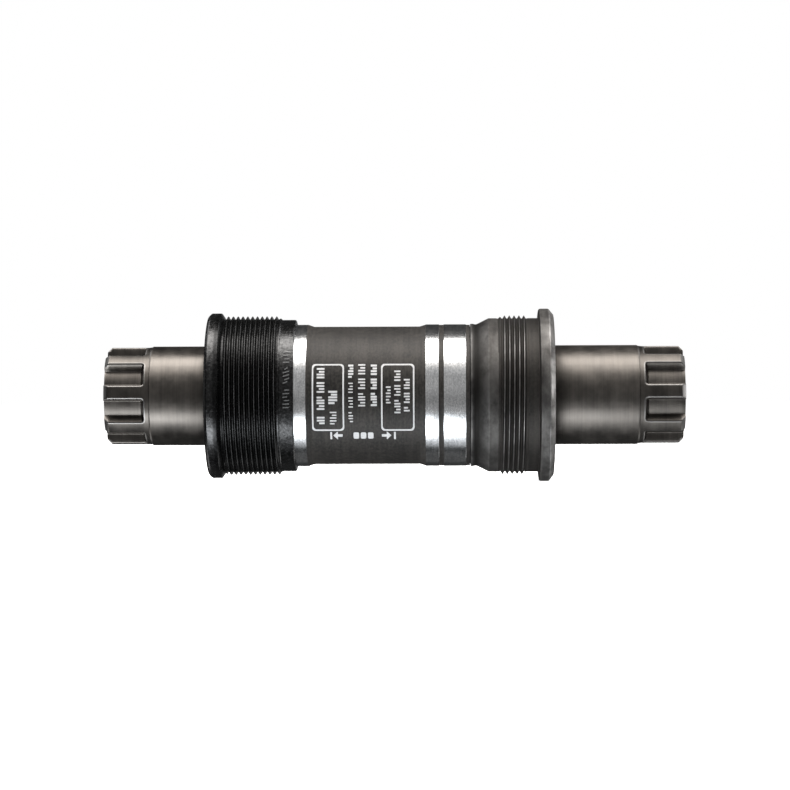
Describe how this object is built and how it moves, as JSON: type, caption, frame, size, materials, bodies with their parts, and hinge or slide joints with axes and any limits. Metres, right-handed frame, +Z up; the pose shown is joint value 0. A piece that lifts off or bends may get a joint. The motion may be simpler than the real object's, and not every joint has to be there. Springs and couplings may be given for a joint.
{
  "type": "bottom bracket",
  "caption": "Sealed cartridge bottom bracket: a hollow splined spindle turns in ball bearings inside a steel shell with a threaded cup at each end.",
  "frame": {"origin": "middle of the spindle, on its axis", "axes": "+X along the spindle towards the drive side (the end with the larger, fixed cup), +Z up"},
  "size_m": [0.126, 0.0378, 0.0378],
  "materials": {
    "spindle_steel": "ground",
    "shell_steel": "satin phosphate with bright ground lands",
    "cup_steel": "satin, dark plated",
    "adapter_resin": "satin black",
    "race_steel": "ground",
    "ball_steel": "polished",
    "cage_nylon": "moulded",
    "seal_steel": "pressed sheet",
    "seal_rubber": "matte"
  },
  "bodies": {
    "cartridge": {"cartridge_shell": "shell_steel", "right_fixed_cup": "cup_steel", "left_bearing_race": "race_steel", "right_inner_bearing_race": "race_steel", "right_outer_bearing_race": "race_steel", "race_spacer": "race_steel", "left_seal_case": "seal_steel", "left_seal_lip": "seal_rubber", "right_seal_case": "seal_steel", "right_seal_lip": "seal_rubber"},
    "spindle": {"spindle": "spindle_steel"},
    "left_adapter": {"left_adapter_cup": "adapter_resin"},
    "left_ball_set": {"left_ball_cage": "cage_nylon", "left_ball_01": "ball_steel", "left_ball_02": "ball_steel", "left_ball_03": "ball_steel", "left_ball_04": "ball_steel", "left_ball_05": "ball_steel", "left_ball_06": "ball_steel", "left_ball_07": "ball_steel", "left_ball_08": "ball_steel", "left_ball_09": "ball_steel", "left_ball_10": "ball_steel", "left_ball_11": "ball_steel", "left_ball_12": "ball_steel", "left_ball_13": "ball_steel"},
    "right_inner_ball_set": {"right_inner_ball_cage": "cage_nylon", "right_inner_ball_01": "ball_steel", "right_inner_ball_02": "ball_steel", "right_inner_ball_03": "ball_steel", "right_inner_ball_04": "ball_steel", "right_inner_ball_05": "ball_steel", "right_inner_ball_06": "ball_steel", "right_inner_ball_07": "ball_steel", "right_inner_ball_08": "ball_steel", "right_inner_ball_09": "ball_steel", "right_inner_ball_10": "ball_steel", "right_inner_ball_11": "ball_steel", "right_inner_ball_12": "ball_steel", "right_inner_ball_13": "ball_steel"},
    "right_outer_ball_set": {"right_outer_ball_cage": "cage_nylon", "right_outer_ball_01": "ball_steel", "right_outer_ball_02": "ball_steel", "right_outer_ball_03": "ball_steel", "right_outer_ball_04": "ball_steel", "right_outer_ball_05": "ball_steel", "right_outer_ball_06": "ball_steel", "right_outer_ball_07": "ball_steel", "right_outer_ball_08": "ball_steel", "right_outer_ball_09": "ball_steel", "right_outer_ball_10": "ball_steel", "right_outer_ball_11": "ball_steel", "right_outer_ball_12": "ball_steel", "right_outer_ball_13": "ball_steel"}
  },
  "joints": [
    {"name": "spindle_spin", "type": "hinge", "parent": "cartridge", "child": "spindle", "pos_m": [0, 0, 0], "axis": [1, 0, 0], "continuous": true},
    {"name": "left_adapter_slide", "type": "slide", "parent": "cartridge", "child": "left_adapter", "axis": [-1, 0, 0], "range_m": [0, 0.045]},
    {"name": "left_balls_orbit", "type": "hinge", "parent": "cartridge", "child": "left_ball_set", "pos_m": [-0.0263, 0, 0], "axis": [1, 0, 0], "continuous": true},
    {"name": "right_inner_balls_orbit", "type": "hinge", "parent": "cartridge", "child": "right_inner_ball_set", "pos_m": [0.0121, 0, 0], "axis": [1, 0, 0], "continuous": true},
    {"name": "right_outer_balls_orbit", "type": "hinge", "parent": "cartridge", "child": "right_outer_ball_set", "pos_m": [0.0203, 0, 0], "axis": [1, 0, 0], "continuous": true}
  ],
  "couplings": [
    {"joint": "left_balls_orbit", "follows": "spindle_spin", "ratio": 0.4346},
    {"joint": "right_inner_balls_orbit", "follows": "spindle_spin", "ratio": 0.4346},
    {"joint": "right_outer_balls_orbit", "follows": "spindle_spin", "ratio": 0.4346}
  ]
}
